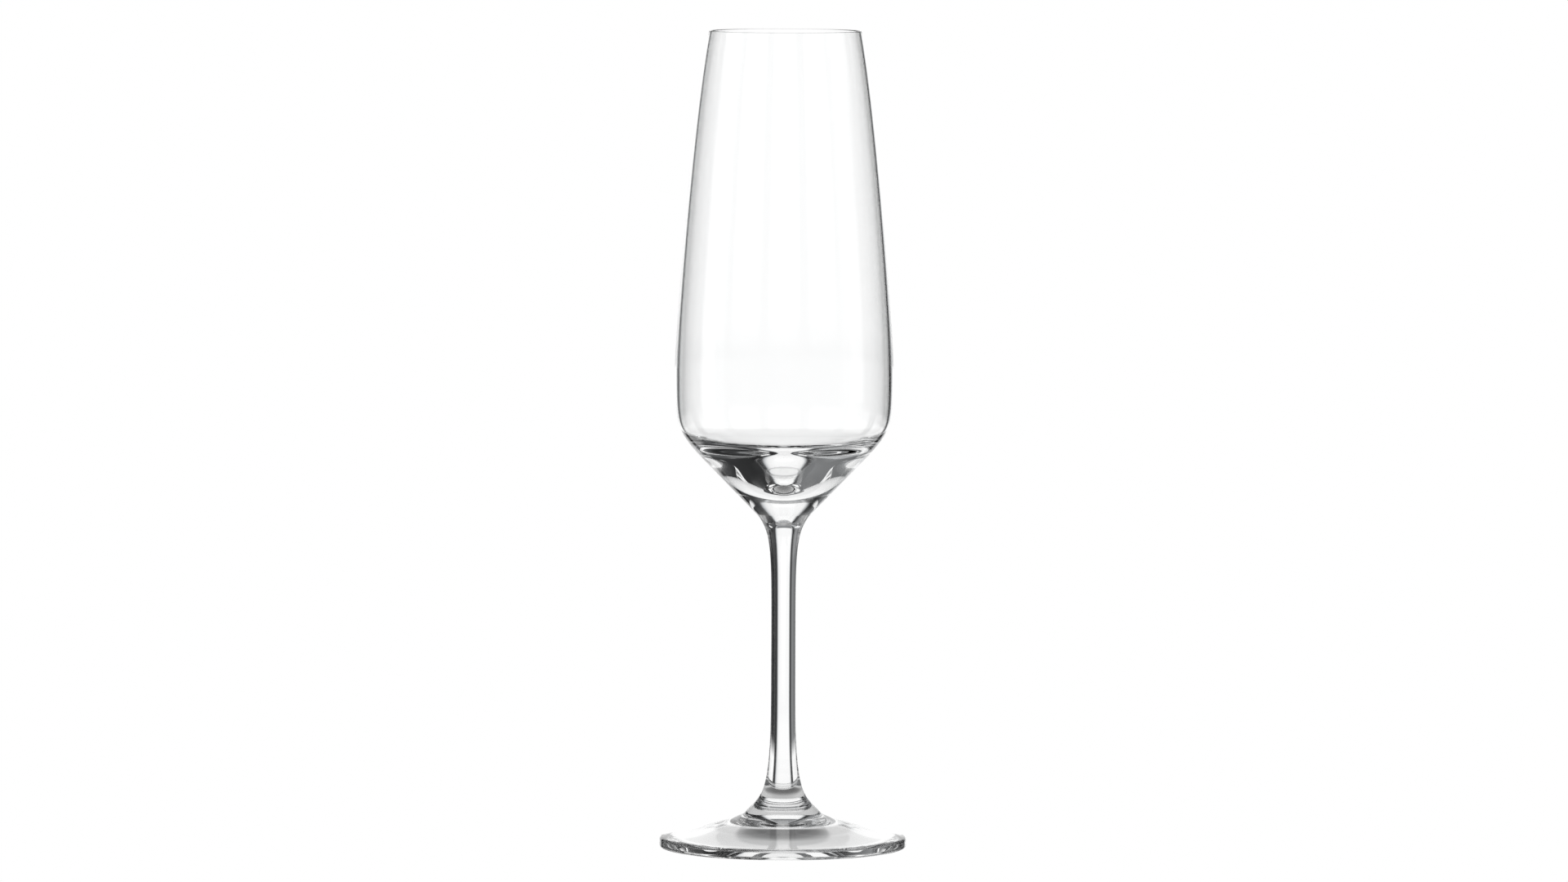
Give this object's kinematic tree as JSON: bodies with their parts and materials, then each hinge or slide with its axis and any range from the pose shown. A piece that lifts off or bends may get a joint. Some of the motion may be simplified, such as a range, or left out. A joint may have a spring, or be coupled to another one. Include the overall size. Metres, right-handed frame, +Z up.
{
  "type": "champagne flute",
  "caption": "Clear glass champagne flute: thin tapered bowl with a thick conical base, slim drawn stem and a low round foot.",
  "frame": {"origin": "centre of the foot's underside, on the table plane", "axes": "+Z up along the axis of the glass, from the foot to the rim"},
  "size_m": [0.0688, 0.0688, 0.228],
  "materials": {
    "bowl_glass": "clear polished glass",
    "stem_glass": "clear polished glass",
    "foot_glass": "clear polished glass"
  },
  "bodies": {
    "root": {"bowl": "bowl_glass", "stem": "stem_glass", "foot": "foot_glass"}
  },
  "joints": []
}
